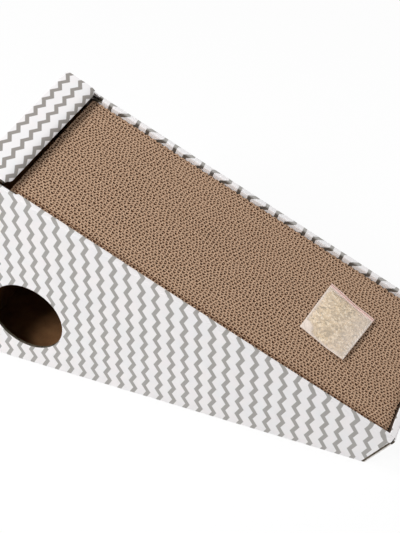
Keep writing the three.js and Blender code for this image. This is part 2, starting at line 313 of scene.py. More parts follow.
def finishBoard(tree, colour, position, rough):
    grain = addNoise(tree, position, board["grain"], detail=3.0)
    bump = addBump(tree, grain, strength=0.15, depth=0.15)
    addSurface(tree, {"Base Color": colour, "Roughness": rough, "Normal": bump, "IOR": 1.45,
                      "Specular IOR Level": 0.3})


def flatPrint(name, across, along, outward, inkHex=zigzag["ink"], edgeOf=edgeColour):
    # print on a flat CAD panel, whose places across and along the lines have an axis and a start each
    material, tree, position, normals = mappedMaterial(name)
    places = [addMath(tree, "ADD", addDot(tree, position, axis), -start * mm)
              for axis, start in (across, along)]
    ink = zigzagMask(tree, *places)
    outside = faceMask(tree, normals, outward, board["facing"])
    inside = faceMask(tree, normals, [-c for c in outward], board["facing"])
    raw = addMix(tree, inside, edgeOf(tree, position), kraftColour(tree, position))
    colour = addMix(tree, outside, raw, printColour(tree, position, ink, inkHex))
    rough = addRange(tree, outside, 0.0, 1.0, board["rawRough"], board["paperRough"])
    finishBoard(tree, colour, position, rough)
    return material


def foldedPrint(name, inward=None, inkHex=zigzag["ink"]):
    # print on a bent board, read from the piece's own flat-sheet map in metres
    material, tree, position, normals = mappedMaterial(name)
    flat = addNode(tree, "UVMap", uv_map="blank")
    place = addNode(tree, "SeparateXYZ", {0: flat.outputs["UV"]})
    ink = zigzagMask(tree, place.outputs["X"], place.outputs["Y"])
    colour = printColour(tree, position, ink, inkHex)
    if inward is not None:  # the lines are drawn darker where the board faces inwards
        turned = addRange(tree, addDot(tree, normals, inward), *board["inwardRange"])
        colour = addMix(tree, turned, colour, printColour(tree, position, ink, zigzag["inkInside"]))
    finishBoard(tree, colour, position, board["paperRough"])
    return material


def plainBoard(name, colourOf, rough):
    material, tree, position, _ = mappedMaterial(name)
    finishBoard(tree, colourOf(tree, position), position, rough)
    return material


printedFold = foldedPrint("white_top_liner_fold")
printedLedge = foldedPrint("white_top_liner_ledge", inkHex=zigzag["inkLedge"])
printedRims = {"near": foldedPrint("white_top_liner_near_rim", (0, 1, 0)),
               "far": foldedPrint("white_top_liner_far_rim", (0, -1, 0))}
kraftLiner = plainBoard("brown_kraft_liner", kraftColour, board["rawRough"])
# a material of painted deep shade, not a board colour
shadedLiner = plainBoard("painted_shade_liner", linerShadeColour, board["rawRough"])
cutEdge = plainBoard("corrugated_cut_edge", edgeColour, board["edgeRough"])

# places on the side's sheet: across and along the lines, turned by the print's tilt
tiltCos, tiltSin = math.cos(zigzag["tilt"]), math.sin(zigzag["tilt"])
sideAcross = np.array([tiltCos, -tiltSin])
sideAlong = np.array([tiltSin, tiltCos])
sideStarts = {"near": np.array(zigzag["nearStart"]), "far": np.array(zigzag["farStart"])}
halfPitch = zigzag["pitch"] / 2


def sidePrint(name, outward, mirrored, sideStart):
    # past the crease the sheet goes on upwards, so on the inner flap it is mirrored about the rim
    rollGain = carton["wall"] - (4 - math.pi) * carton["rimRound"]  # sheet used up by the rim's top
    places = []
    for axis, extra in ((sideAcross, halfPitch), (sideAlong, 0.0)):
        start = sideStart @ axis + extra
        if mirrored:
            lift = axis @ normal
            start = start - 2 * lift * (apex @ normal) - lift * rollGain
            axis = axis - 2 * lift * normal
        places.append((toSpace(axis), start))
    return flatPrint(name, *places, outward, zigzag["inkInside"] if mirrored else zigzag["ink"])


def dress(nodeName, material):  # a CAD node that keeps its shape gets its material
    slots = nodes[nodeName].data.materials
    slots.clear()
    slots.append(material)


for nodeName, outward, mirrored in (
        ("near_side_panel", (0, -1, 0), False), ("far_side_panel", (0, 1, 0), False),
        ("near_inner_flap", (0, 1, 0), True), ("far_inner_flap", (0, -1, 0), True)):
    sideStart = sideStarts[nodeName.split("_")[0]]
    dress(nodeName, sidePrint("white_top_liner_" + nodeName, outward, mirrored, sideStart))
print("side panels printed")

# panels of the middle strip: their lines run across the carton and are counted along the strip
ledge = {
    "rise": 3.7,
    "width": 41.0,
    "spring": math.radians(4.0),
    "lip": 4.8,
    "endGap": 0.5,
    "taper": 4.0,
    "skew": 1.3,  # how far the flap's far end lies ahead of its near end, half of it, mm
    "bow": 0.4,  # the flap bows up a little in its middle, mm
    "foldRadius": 3.0,
    "foldRun": 10.0,  # the fold towards the lip starts this far back from its front, mm
    "foldPull": 3.6,  # and the lip leans forward by this much
    "foldReach": 0.6,  # past the flat width, mm
    "foldSteps": (7, 13),  # points of the back fold and of the lip's
    "trim": (0.2, 1.2),  # cut off the lip at its near and its far end, mm
    "trimRun": 9.0,  # the cut is made up over this length before the lip's edge, mm
    "cornerTrim": (4.6, 2.4),  # and more at those two corners
    "cornerRun": (0.9, 0.1),  # from this share of the half width on, and over this share
    "steps": 61,
}
ledgeTilt = rampAngle - ledge["spring"]
ledgeForward = np.array([math.cos(ledgeTilt), -math.sin(ledgeTilt)])
ledgeDown = np.array([ledgeForward[1], -ledgeForward[0]])
crease = apex + ledge["rise"] / (normal @ backDown) * backDown

stripAlong = ((0, 1, 0), zigzag["stripStart"])
backAcross = (toSpace(backDown), crease @ backDown - zigzag["backLine"])
frontAcross = (toSpace(frontUp), toe @ frontUp - zigzag["frontLine"])
baseAcross = ((1, 0, 0), sideStarts["near"][0] + halfPitch)
baseAlong = ((0, 1, 0), -carton["halfWidth"])
dress("back_panel", flatPrint("white_top_liner_back", backAcross, stripAlong, toSpace(backOutward)))
dress("front_panel", flatPrint("white_top_liner_front", frontAcross, stripAlong, toSpace(frontOutward),
                               edgeOf=frontEdge))
dress("base_panel", flatPrint("white_top_liner_base", baseAcross, baseAlong, (0, 0, -1)))
# the front inner flap is painted in deep shade, for the dark gap beside the pad's toe end
dress("front_inner_flap", shadedLiner)
for nodeName in ("near_pad_shelf", "far_pad_shelf", "near_back_tab", "far_back_tab"):
    dress(nodeName, kraftLiner)
print("middle strip printed")


def boardRun(name, outer, inner, steps, place, uvOf, body, replaced, printed=printedFold, lining=kraftLiner,
             shadedFrom=None):
    # a bent board: the outer and inner lines of its section carried along steps, closed at both ends
    count, rows = len(outer), len(steps)
    ring = 2 * count
    section = np.concatenate([outer, inner[::-1]])
    run = lengthsAlong(outer)
    t, a, b, run = np.broadcast_arrays(steps[:, None], *section.T, np.concatenate([run, run[::-1]]))
    points = place(t, a, b).reshape(-1, 3)
    uv = np.stack(uvOf(t, run), -1).reshape(-1, 2) * mm
    quads = tubeQuads(rows, ring)
    column = np.tile(np.arange(ring), rows - 1)
    faceMaterial = np.full(len(quads), 2)  # 0 print, 1 lining, 2 cut edge, 3 painted deep shade
    faceMaterial[:len(column)] = np.where(column < count - 1, 0, 1)
    faceMaterial[:len(column)][column % count == count - 1] = 2
    # faces from this column on are painted in deep shade
    if shadedFrom is not None:
        faceMaterial[:len(column)][(column < count - 1) & (column >= shadedFrom)] = 3
    piece = makePiece(name, points, quads, [printed, lining, cutEdge, shadedLiner], faceMaterial, uv)
    turnOutward(piece, board["sharp"])
    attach(piece, body)
    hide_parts(*replaced)


# rims of the two sides: the board turns over a double crease, with a skirt that covers the crease
rim = {
    "start": 4.42,
    "end": 500.95,
    "skirt": 0.9,
    "proud": 0.03,
    "slot": 0.5,  # half the gap that is left inside the roll, mm
    "cornerSteps": 9,
    "alongSteps": 140,
    "wobble": 0.1,  # how far the soft rim wanders up and down, mm
    "waves": (310.0, 143.0, 71.0, 37.0),
    "nearSink": 0.8,  # the near rim lies this much lower, mm
    "nearSwell": 1.6,  # and stands up towards the toe, mm
    "swellRun": (300.0, 160.0),  # start and length of that along the slope, mm
    "toeLift": 2.3,  # the near toe corner is bent up, mm
    "toeRun": (460.0, 38.0),
    "endLean": 0.5,  # a rim's toe end is cut back on its outer side and below, mm
    "leanRun": (470.0, 30.0),
    "leanAcross": (-0.5, 2.5),
    "notchRun": (51.0, 1.4),  # the inner half of the roll starts past the ledge, mm
    "notchSteps": (-0.6, 0.0, 0.7, 1.4),
}
rimSide, rimDepth, rimRound = carton["wall"] / 2, carton["rimDepth"], carton["rimRound"]
skirtFoot = -rimDepth - rim["skirt"]
quarter = np.linspace(0, math.pi / 2, rim["cornerSteps"])
quarterTurn = np.stack([np.cos(quarter), np.sin(quarter)], -1) * rimRound  # from outward to up
firstCorner = quarterTurn + [rimSide - rimRound, -rimRound]
rimOuter = np.concatenate([[[rimSide, skirtFoot], [rimSide, -rimDepth]], firstCorner,
                           firstCorner[::-1] * [-1, 1], [[-rimSide, -rimDepth], [-rimSide, skirtFoot]]])
rimOuter[:, 0] *= 1 + rim["proud"] / rimSide
slotTurn = np.linspace(0, math.pi, len(rimOuter))
rimInner = np.stack([rim["slot"] * np.cos(slotTurn), -rimDepth + rim["slot"] * np.sin(slotTurn)], -1)
rimMiddle = carton["halfWidth"] - rimSide
rimSteps = np.linspace(rim["start"], rim["end"], rim["alongSteps"])
rimSteps = np.sort(np.concatenate([rimSteps, rim["notchRun"][0] + np.array(rim["notchSteps"])]))
for sideName, sign, seed in (("near", -1, 3), ("far", 1, 4)):
    def placeRim(t, outward, n, sign=sign, seed=seed):
        settle = np.clip((n + rimDepth) / rimDepth, 0, 1)  # only the top of the rim wanders
        lift = rim["wobble"] * wander(t, seed, rim["waves"], 1)
        if sign < 0:
            swell = rim["nearSwell"] * smoothStep(t, *rim["swellRun"])
            toeRise = rim["toeLift"] - (rim["nearSwell"] - rim["nearSink"])
            lift = lift + swell - rim["nearSink"] + toeRise * smoothStep(t, *rim["toeRun"])
        outward = np.where(outward < 0, outward * smoothStep(t, *rim["notchRun"]), outward)
        shorter = np.maximum(np.clip(-n / rimDepth, 0, 1), smoothStep(outward, *rim["leanAcross"]))
        lean = rim["endLean"] * smoothStep(t, *rim["leanRun"]) * shorter
        return onRamp(t - lean, sign * (rimMiddle + outward), n + lift * settle)

    def uvRim(t, run, start=sideStarts[sideName]):
        past = run - rim["skirt"] - rimDepth
        flat = apex + t[..., None] * slope + past[..., None] * normal - start
        return flat @ sideAcross - halfPitch, flat @ sideAlong

    boardRun(sideName + "_rolled_rim", rimOuter, rimInner, rimSteps, placeRim, uvRim, "carton",
             [sideName + "_rim_fold"], printedRims[sideName])
print("side rims folded")

# rim of the front wall: its outer edge runs the full width, the return lies between the side rims
frontRim = {
    "board": 2.1,  # the board is crushed where it turns over, mm
    "paper": 1.3,
    "sheetGain": 1.8,  # sheet used up by the fold, mm
    "bendRun": (72.0, 26.0),  # start and length of the bent near corner, mm
    "tuck": 0.4,  # the return starts this far below the outer edge's fold, mm
    "reach": 1.2,  # and ends this far past the wall
    "tip": (0.2, -0.6),
    "overlap": 0.1,
    "returnRound": 0.5,  # of the outer edge's round
    "returnBoard": 0.9,
    "shadedFrom": 8,  # the return's faces from this one on carry no print and are painted in deep shade
    "steps": (41, 31),  # of the edge and of the return
}
foldBoard, foldPaper = frontRim["board"], frontRim["paper"]
frontFall = (slope @ frontUp) / (slope @ frontOutward)  # the ramp falls off against the wall's square top


def placeFront(t, a, b):  # a outward and b up along the wall, from the toe
    bent = rim["toeLift"] * smoothStep(-t, *frontRim["bendRun"]) * np.clip(1 + b / rimDepth, 0, 1)
    level = b + frontFall * np.minimum(a, 0) + bent
    return placed(toe, a, frontOutward, level, frontUp, t)


def uvFront(t, run):
    return run - rim["skirt"] - rimDepth + zigzag["frontLine"], t - zigzag["stripStart"]


def uvReturn(t, run):
    return run + foldBoard - frontRim["sheetGain"] + zigzag["frontLine"], t - zigzag["stripStart"]


frontOuter = np.concatenate([[[0, skirtFoot], [0, -rimDepth]], quarterTurn - [rimRound, rimRound],
                             [[-foldBoard, 0]]])
frontOuter[:-1, 0] += rim["proud"]
frontInner = np.concatenate([[[-foldPaper, skirtFoot], [-foldPaper, -rimDepth]],
                             quarterTurn * (1 - foldPaper / rimRound) - [rimRound, rimRound],
                             [[-foldBoard, -foldPaper]]])
frontSteps = np.linspace(-carton["halfWidth"], carton["halfWidth"], frontRim["steps"][0])
# the front rim's lining inside its crushed fold is painted in deep shade
boardRun("front_rim_edge", frontOuter, frontInner, frontSteps, placeFront, uvFront, "carton",
         ["front_rim_fold"], lining=shadedLiner)

returnFrom, returnTo = foldBoard - frontRim["tuck"], carton["wall"] + frontRim["reach"]
returnRound = quarterTurn[::-1] * [-1, 1] + [rimRound, -rimRound]
returnOuter = np.concatenate([[[frontRim["tip"][0] - returnFrom, frontRim["tip"][1]],
                               [-foldBoard - frontRim["overlap"], 0]],
                              frontRim["returnRound"] * returnRound - [returnTo, 0],
                              [[-returnTo, -rimDepth], [-returnTo, skirtFoot]]])
returnInner = np.linspace([-returnFrom, -frontRim["returnBoard"]],
                          [-returnFrom - frontRim["returnBoard"], -rimDepth], len(returnOuter))
returnSteps = np.linspace(-rimMiddle, rimMiddle, frontRim["steps"][1])
boardRun("front_rim_return_fold", returnOuter, returnInner, returnSteps, placeFront, uvReturn, "carton",
         ["front_rim_return"], shadedFrom=frontRim["shadedFrom"])


# ledge flap: one bent board, from its back crease over the ledge and down the lip
def bend(a, pull, b, count):  # a quadratic curve from a to b, drawn towards pull
    t = np.linspace(0, 1, count)[:, None]
    return (1 - t) ** 2 * np.array(a) + 2 * t * (1 - t) * np.array(pull) + t ** 2 * np.array(b)


ledgeLean = (backDown @ ledgeForward) / (backDown @ ledgeDown)
ledgeFront = ledge["width"] + ledge["foldReach"]
ledgeStart = [ledgeLean * carton["board"], carton["board"]]
backFold = bend(ledgeStart, [0, 0], [ledge["foldRadius"], 0], ledge["foldSteps"][0])
lipFold = bend([ledge["width"] - ledge["foldRun"], 0], [ledgeFront - ledge["foldPull"], 0],
               [ledgeFront, ledge["lip"]], ledge["foldSteps"][1])
ledgePath = np.concatenate([backFold, lipFold])  # the section's outer line, forward and down from the crease
ledgeRuns = lengthsAlong(ledgePath)
ledgeTurn = np.gradient(ledgePath, ledgeRuns, axis=0)
ledgeTurn /= np.linalg.norm(ledgeTurn, axis=1)[:, None]


def ledgeAcross(t, forward):  # the flap's ends come in towards the lip
    return t * (carton["halfWidth"] - ledge["endGap"] - ledge["taper"] * forward / ledge["width"])


def cutLip(t, run):
    near, far = ledge["trim"]
    trim = near + (far - near) * (t + 1) / 2
    trim = trim + np.where(t < 0, *ledge["cornerTrim"]) * smoothStep(np.abs(t), *ledge["cornerRun"])
    return run - trim * smoothStep(run, ledgeRuns[-1] - ledge["trimRun"], ledge["trimRun"])


def placeLedge(t, run, depth):  # along the section and into the board
    run = cutLip(t, run)
    forward, down = (np.interp(run, ledgeRuns, ledgePath[:, k]) for k in (0, 1))
    turnForward, turnDown = (np.interp(run, ledgeRuns, ledgeTurn[:, k]) for k in (0, 1))
    forward, down = forward - depth * turnDown, down + depth * turnForward
    share = np.clip(forward / ledge["width"], 0, 1)
    ahead = forward + ledge["skew"] * t * share
    points = placed(crease, ahead, ledgeForward, down, ledgeDown, ledgeAcross(t, forward))
    points[..., 2] += ledge["bow"] * np.cos(math.pi * t / 2) * share * mm
    return points


def uvLedge(t, run):
    run = cutLip(t, run)
    forward = np.clip(run - carton["board"], 0, ledge["width"])
    return run - carton["board"] - zigzag["backLine"], ledgeAcross(t, forward) - zigzag["stripStart"]


ledgeOuter = np.stack([ledgeRuns, 0 * ledgeRuns], -1)
ledgeInner = np.stack([ledgeRuns, 0 * ledgeRuns + carton["board"]], -1)
ledgeSteps = np.linspace(-1, 1, ledge["steps"])
boardRun("ledge_flap", ledgeOuter, ledgeInner, ledgeSteps, placeLedge, uvLedge, "ledge",
         ["top_ledge", "ledge_lip"], printedLedge)
print("ledge and front rim folded")

# Corrugated kraft pad, sawn across the flutes: rough pale cut edges, darker walls inside the cells.
pad = {
    "strips": 27,
    "start": 42.2,  # along the slope from the apex, mm
    "end": 493.7,
    "endLean": 2.4,  # the toe end leans with the front wall, mm
    "halfWidth": 92.5,
    "recess": 5.0,
    "thickness": 25.0,
    "layers": ((8.45, 0.52, 0.6), (7.75, 0.48, 0.76)),  # flute, share of a strip, half its frayed edge, mm
    "fluteSpread": 0.012,  # how much flutes differ from layer to layer
    "steep": 3.0,  # flanks stand this much steeper than a plain wave
    "rise": 1.5,  # half a flute's height where its paper is measured out, mm
    "perWave": 16,
    "finePerWave": 48,
    "waves": (260.0, 97.0, 41.0),  # lengths of the sheets' slow drift, mm
    "drift": 0.25,  # how far a sheet drifts sideways, mm
    "turnDrift": 0.12,  # and its flutes along it, in flutes
    "swing": (0.97, 0.05),  # share of a layer that its flutes fill, and how much that drifts
    "clear": 0.5,  # the liners' part of a layer, mm
    "paper": 0.22,  # half the thickness below the fray, mm
    "linerPaper": (0.54, 0.16),
    "linerDrop": 0.05,  # the liners tear off a little below the flutes, mm
    "linerWave": 0.2,  # and follow the flutes a little, mm
    "linerEvery": 3,  # and need fewer points
    "sideLiner": 0.3,  # the liners that close the sides stand this far in, mm
    "sideClear": (0.4, 0.75),  # the outermost flutes keep off the near and the far side, mm
    "farDrop": 1.3,  # the liner that closes the far side ends this much lower, mm
    "nearDrop": 1.2,  # the strip beside the near rim sits this much lower, mm
    "sawn": 0.4,  # the sawn edge lies this far below the pad's top, mm
    "jag": (0.12, 0.15),  # its scatter from point to point and its slow drift, mm
    "jagLimit": (-0.5, 0.4),
    "fray": 0.7,  # height of the frayed part, mm
    "fuzz": 2.2,  # size of the fray's tufts, mm
    "fuzzShare": 0.9,
    "toneRange": (0.25, 1.15),
    "flankTone": 0.75,  # crests are drawn browner than the flanks between them
    "linerTone": (0.35, -0.4),  # of the inner liners, and of the outermost ones beside the rims, darker as painted shade
    "toneSpread": (-0.1, 0.15),
    "topFacing": 0.6,
    "edgeLight": "c9a98e",
    "edgeDark": "aa8a70",
    "wall": "b08868",
    "wallDark": "8c6246",
}


def flutedPaper(name):
    material, tree, position, normals = mappedMaterial(name)
    top = faceMask(tree, normals, toSpace(normal), pad["topFacing"])
    fuzz = addNoise(tree, position, pad["fuzz"], detail=3.0, rough=0.7)
    mixed = addMath(tree, "MULTIPLY_ADD", fuzz, pad["fuzzShare"], addTone(tree))
    level = addRange(tree, mixed, *pad["toneRange"])
    edge = addMix(tree, level, pad["edgeDark"], pad["edgeLight"])
    wall = addMix(tree, level, pad["wallDark"], pad["wall"])
    addSurface(tree, {"Base Color": addMix(tree, top, wall, edge), "Roughness": 0.95,
                      "Normal": addBump(tree, fuzz, strength=0.4, depth=0.3), "Specular IOR Level": 0.15})
    return material


padPaper = flutedPaper("sawn_corrugated_kraft")
padPitch = 2 * pad["halfWidth"] / pad["strips"]
padLength = pad["end"] - pad["start"]
lastLayer = 2 * pad["strips"] - 1
sheetRing = 6  # corners of a sheet's section


def sheetDrift(s, seed):  # slow sideways drift of a sheet
    return wander(s, seed, pad["waves"], 1.5)


def paperSheet(s, y, paper, drop, seed):
    # an upright sheet along (s, y): a ring of six corners square to its run, wider at the frayed top
    scatter, slow = pad["jag"]
    jag = np.random.default_rng(seed + 900).normal(0, scatter, len(s)) + slow * sheetDrift(s, seed + 500)
    top = -pad["recess"] - pad["sawn"] - drop + np.clip(jag, *pad["jagLimit"])
    bottom = -pad["recess"] - pad["thickness"] + 0 * s
    wide, thin = paper
    out = np.array([-wide, wide, thin, thin, -thin, -thin])
    run = np.gradient(y, s)[:, None]
    stretch = np.sqrt(1 + run ** 2)
    ss = np.clip(s[:, None] - out * run / stretch, pad["start"], pad["end"])
    ys = np.clip(y[:, None] + out / stretch, -pad["halfWidth"], pad["halfWidth"])
    ns = np.stack([top, top, top - pad["fray"], bottom, bottom, top - pad["fray"]], -1)
    lean = pad["endLean"] * (ss - pad["start"]) / padLength * (top[:, None] - ns) / pad["thickness"]
    points = onRamp(ss - lean, ys, ns).reshape(-1, 3)
    last = (len(s) - 1) * sheetRing
    cap = np.array([[0, 1, 2, 5], [5, 2, 3, 4]])
    endCap = np.array([[5, 2, 1, 0], [4, 3, 2, 5]]) + last
    return points, np.concatenate([gridQuads(len(s), sheetRing, closeCols=True), cap, endCap])


def fluteWave(turns):  # a wave with upright flanks and flat crests
    return np.tanh(pad["steep"] * np.sin(2 * math.pi * turns)) / math.tanh(pad["steep"])


def layerWave(index):  # one fluted layer: its sample places and the turns of its wave
    source = np.random.default_rng(4000 + index)
    length = pad["layers"][index % 2][0] * (1 + pad["fluteSpread"] * source.normal())
    first = source.uniform()

    def turnsAt(s):
        return s / length + first + pad["turnDrift"] * sheetDrift(s, index + 30)

    fine = np.linspace(pad["start"], pad["end"], int(padLength / length * pad["finePerWave"]))
    walked = lengthsAlong(np.stack([fine, pad["rise"] * fluteWave(turnsAt(fine))], -1))
    count = int(padLength / length * pad["perWave"])
    s = np.interp(np.linspace(0, walked[-1], count), walked, fine)  # even steps along the bent paper
    return s, turnsAt(s)


def layerSheets(index, s, wave):  # the sheets of one layer: along, across, paper and drop, the flutes first
    strip, layer = divmod(index, 2)
    _, share, fray = pad["layers"][layer]
    tall = share * padPitch
    base = -pad["halfWidth"] + strip * padPitch + (pad["layers"][0][1] * padPitch if layer else 0)
    below, above = pad["drift"] * sheetDrift(s, index), pad["drift"] * sheetDrift(s, index + 1)
    filled, change = pad["swing"]
    swing = (tall - pad["clear"]) / 2 * (filled + change * sheetDrift(s, index + 60))
    flute = base + tall / 2 + (below + above) / 2 + swing * wave
    liner = base + below + pad["paper"] + pad["linerWave"] * wave
    if index == 0:  # the pad's two sides are closed by smooth liners
        liner = base + pad["sideLiner"] + np.abs(below)
        flute = np.maximum(flute, liner + pad["sideClear"][0])
    if index == lastLayer:
        flute = np.minimum(flute, base + tall - pad["sideClear"][1])
    few = slice(None, None, pad["linerEvery"])
    sheets = [(s, flute, (fray, pad["paper"]), 0.0),
              (s[few], liner[few], pad["linerPaper"], pad["linerDrop"])]
    if index == lastLayer:
        side = base + tall - pad["sideLiner"] + 0 * s[few]
        sheets.append((s[few], side, pad["linerPaper"], pad["farDrop"]))
    return sheets


for strip in range(pad["strips"]):
    pieces, quads, tones, count = [], [], [], 0
    sink = pad["nearDrop"] if strip == 0 else 0.0
    for index in (2 * strip, 2 * strip + 1):
        s, turns = layerWave(index)
        wave = fluteWave(turns)
        # the liners beside the two rims take the darker tone, painted shade
        linerTone = pad["linerTone"][0 if 2 < index < lastLayer else 1]
        for sheetIndex, (along, y, paper, drop) in enumerate(layerSheets(index, s, wave)):
            points, faces = paperSheet(along, y, paper, drop + sink, 10 * index + sheetIndex)
            pieces.append(points)
            quads.append(faces + count)
            tone = pad["flankTone"] * (1 - wave ** 4) if sheetIndex == 0 else linerTone + 0 * along
            tones.append(np.repeat(tone + rng.uniform(*pad["toneSpread"]), sheetRing))
            count += len(points)
    piece = makePiece("fluted_strip_%02d" % (strip + 1), np.concatenate(pieces), np.concatenate(quads),
                      [padPaper], tone=np.concatenate(tones), smooth=False)
    turnOutward(piece)
    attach(piece, "pad")
    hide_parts("pad_strip_%02d" % (strip + 1))
print("pad stacked")

# zip bag: a film pouch blown up by Blender's Cloth, a flat heap of dried herb in it and a zip strip
bag = {
    "middle": (398.36, 6.4),  # along the slope and across, mm
    "turn": math.radians(-8.8),
    "width": 56.0,
    "length": 78.0,
    "crown": 7.0,
    "seat": -4.7,
    "zipInside": 5.0,
    "zipLap": 0.4,  # the pouch goes on this far under the zip, mm
    "curl": 2.2,  # the edge towards the toe stands off the pad, mm
    "curlRun": (4.0, 24.0),
    "corners": (((0.9, -2.9), (-2.2, 1.6)), ((0.9, -3.75), (1.4, -3.9))),  # each is pulled this far, mm
    "grid": (45, 57),
    "gain": 10.0,  # the cloth is worked out at ten times the size, where its solver is steady
    "apart": 0.4,  # the sheets start this far off the middle, mm
    "frames": 22,
    "cloth": {
        "shrink_min": -0.025,  # the film is this much longer than its welded edge allows
        "quality": 6,
        "mass": 0.15,
        "bending_stiffness": 0.6,
        "use_pressure": True,
        "uniform_pressure_force": 3.0,
    },
    "filmFoot": (0.05, 0.35),  # the lower and the upper sheet at the welded edge, mm
    "film": "f6e7db",
    "filmRough": 0.3,
    "filmCrease": 9.0,  # size of the film's creases, mm
    "creaseShare": 0.4,
    "hazeRange": (0.1, 1.1),
    "haze": (0.32, 0.84),  # how milky the film is where it is stretched and where its sheets lie close
    "close": 1.6,  # sheets nearer than this look milky, mm
    "milkyCorner": (11.0, 4.0),  # and so does the empty corner up to here, and a little past it, mm
    "milkySide": 0.35,  # and, by this share, the side towards the toe
    "milkyRun": (-4.0, 26.0),
    "emptyCorner": 12.0,  # how far the herb stays off the corner nearest the tall end, mm
    "heapFoot": (0.1, 0.2),
    "heapShare": 0.86,  # the herb's height under the film
    "chip": 2.4,  # a chip of herb, mm
    "chipWarp": (4.0, 2.0),  # chips are bent over this length and by this much, mm
    "flakeEnds": ("8c7a4c", "fff4da"),  # dark green stems and pale straw
    "flakes": ((0.35, "c8b284"), (0.7, "ead4aa")),
    "zipBand": "eed5cb",
    "zipLine": "c4958c",
    "zipLines": ((0.52, 0.13, 1.0), (0.2, 0.06, 0.3)),  # place and half width across the strip, and strength
}
bagCos, bagSin = math.cos(bag["turn"]), math.sin(bag["turn"])
bagHalf = bag["length"] / 2
pouchEnd = bagHalf - bag["zipInside"] + bag["zipLap"]
pouchLength = bagHalf + pouchEnd


def onBag(a, b, h):  # along the zip, along the bag and up from the pad
    across, along = np.clip(a / bag["width"] + 0.5, 0, 1), np.clip(b / bag["length"] + 0.5, 0, 1)
    pull = np.array(bag["corners"])
    near, far = ((1 - along)[..., None] * pull[k, 0] + along[..., None] * pull[k, 1] for k in (0, 1))
    shift = (1 - across)[..., None] * near + across[..., None] * far
    s = bag["middle"][0] + a * bagCos - b * bagSin + shift[..., 0]
    y = bag["middle"][1] + a * bagSin + b * bagCos + shift[..., 1]
    return onRamp(s, y, bag["seat"] + h + bag["curl"] * smoothStep(a, *bag["curlRun"]))


def rimOf(columns, rows):  # indices around the edge of a grid
    index = np.arange(columns * rows).reshape(columns, rows)
    return np.concatenate([index[0], index[1:, -1], index[-1, -2::-1], index[-2:0:-1, 0]])


def blowUp(width, length, columns, rows):
    # two flat sheets joined along their edge, swollen by Cloth's pressure; returns the upper sheet, in mm
    u, v = np.meshgrid(np.linspace(-0.5, 0.5, columns), np.linspace(-0.5, 0.5, rows), indexing="ij")
    scale = bag["gain"] * mm
    flat = np.stack([u * width, v * length, 0 * u], -1).reshape(-1, 3) * scale
    size = columns * rows
    shared = np.zeros(size, bool)
    shared[rimOf(columns, rows)] = True
    inner = np.flatnonzero(~shared)
    lower = np.arange(size)
    lower[inner] = size + np.arange(len(inner))
    ease = bag["apart"] * scale
    upper = flat + np.where(shared, 0, ease)[:, None] * [0, 0, 1]
    points = np.concatenate([upper, flat[inner] - [0, 0, ease]])
    quads = gridQuads(columns, rows)
    facing = np.concatenate([quads[:, ::-1], lower[quads]])  # outwards
    piece = makePiece("pouch_cloth", points, facing, [])
    welded = piece.vertex_groups.new(name="welded_edge")
    welded.add(np.flatnonzero(shared).tolist(), 1.0, "REPLACE")
    cloth = piece.modifiers.new("film", "CLOTH")
    cloth.settings.vertex_group_mass = welded.name
    for key, value in bag["cloth"].items():
        setattr(cloth.settings, key, value)
    cloth.settings.effector_weights.gravity = 0.0
    cloth.point_cache.frame_end = bag["frames"]
    for step in range(1, bag["frames"] + 1):
        scene.frame_set(step)
    swollen = piece.evaluated_get(bpy.context.evaluated_depsgraph_get()).to_mesh()
    places = np.empty(3 * len(swollen.vertices), np.float32)
    swollen.vertices.foreach_get("co", places)
    mesh = piece.data
    bpy.data.objects.remove(piece)
    bpy.data.meshes.remove(mesh)
    scene.frame_set(1)
    return places.reshape(-1, 3)[:size].reshape(columns, rows, 3).astype(float) / scale


def closedSheets(name, a, b, top, bottom, material, tone=0.0):
    # an upper and a lower sheet over the same grid, joined along their edge
    columns, rows = a.shape
    size = columns * rows
    points = np.concatenate([onBag(a, b, h).reshape(-1, 3) for h in (top, bottom + 0 * a)])
    quads = gridQuads(columns, rows)
    ring = rimOf(columns, rows)
    after = np.roll(ring, -1)
    sides = np.stack([ring, after, after + size, ring + size], -1)
    quads = np.concatenate([quads, quads[:, ::-1] + size, sides])
    piece = makePiece(name, points, quads, [material], tone=np.tile((tone + 0 * a).ravel(), 2))
    turnOutward(piece)
    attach(piece, "bag")
    return piece


def herbMaterial(name):  # dried catnip: chips of leaf and stem, straw to dull green, each chip one tone
    material, tree, position, _ = mappedMaterial(name)
    length, push = bag["chipWarp"]
    warp = addNoise(tree, position, length, detail=2.0, output="Color")
    shifted = addNode(tree, "VectorMath", {0: warp, 1: [push * mm] * 3, 2: position},
                      operation="MULTIPLY_ADD")
    chips = addNode(tree, "TexVoronoi", {"Vector": shifted.outputs[0], "Scale": 1 / (bag["chip"] * mm)})
    split = addNode(tree, "SeparateColor", {0: chips.outputs["Color"]})
    ramp = addNode(tree, "ValToRGB", {0: split.outputs[0]})
    for element, hexCode in zip(ramp.color_ramp.elements, bag["flakeEnds"]):
        element.color = toLinear(hexCode)
    for spot, hexCode in bag["flakes"]:
        ramp.color_ramp.elements.new(spot).color = toLinear(hexCode)
    addSurface(tree, {"Base Color": ramp.outputs["Color"], "Roughness": 0.85,
                      "Normal": addBump(tree, chips.outputs["Distance"], strength=0.6, depth=0.8),
                      "Specular IOR Level": 0.2})
    return material


def filmMaterial(name):  # blown polyethylene film: clear, milky where its sheets lie close, soft gloss
    material, tree, position, _ = mappedMaterial(name)
    creases = addNoise(tree, position, bag["filmCrease"], detail=3.0)
    cloud = addMath(tree, "MULTIPLY_ADD", creases, bag["creaseShare"], addTone(tree))
    haze = addRange(tree, cloud, *bag["hazeRange"], *bag["haze"])
    addSurface(tree, {"Base Color": toLinear(bag["film"]), "Roughness": bag["filmRough"], "Alpha": haze,
                      "Normal": addBump(tree, creases, strength=0.3, depth=0.6), "IOR": 1.5})
    return material


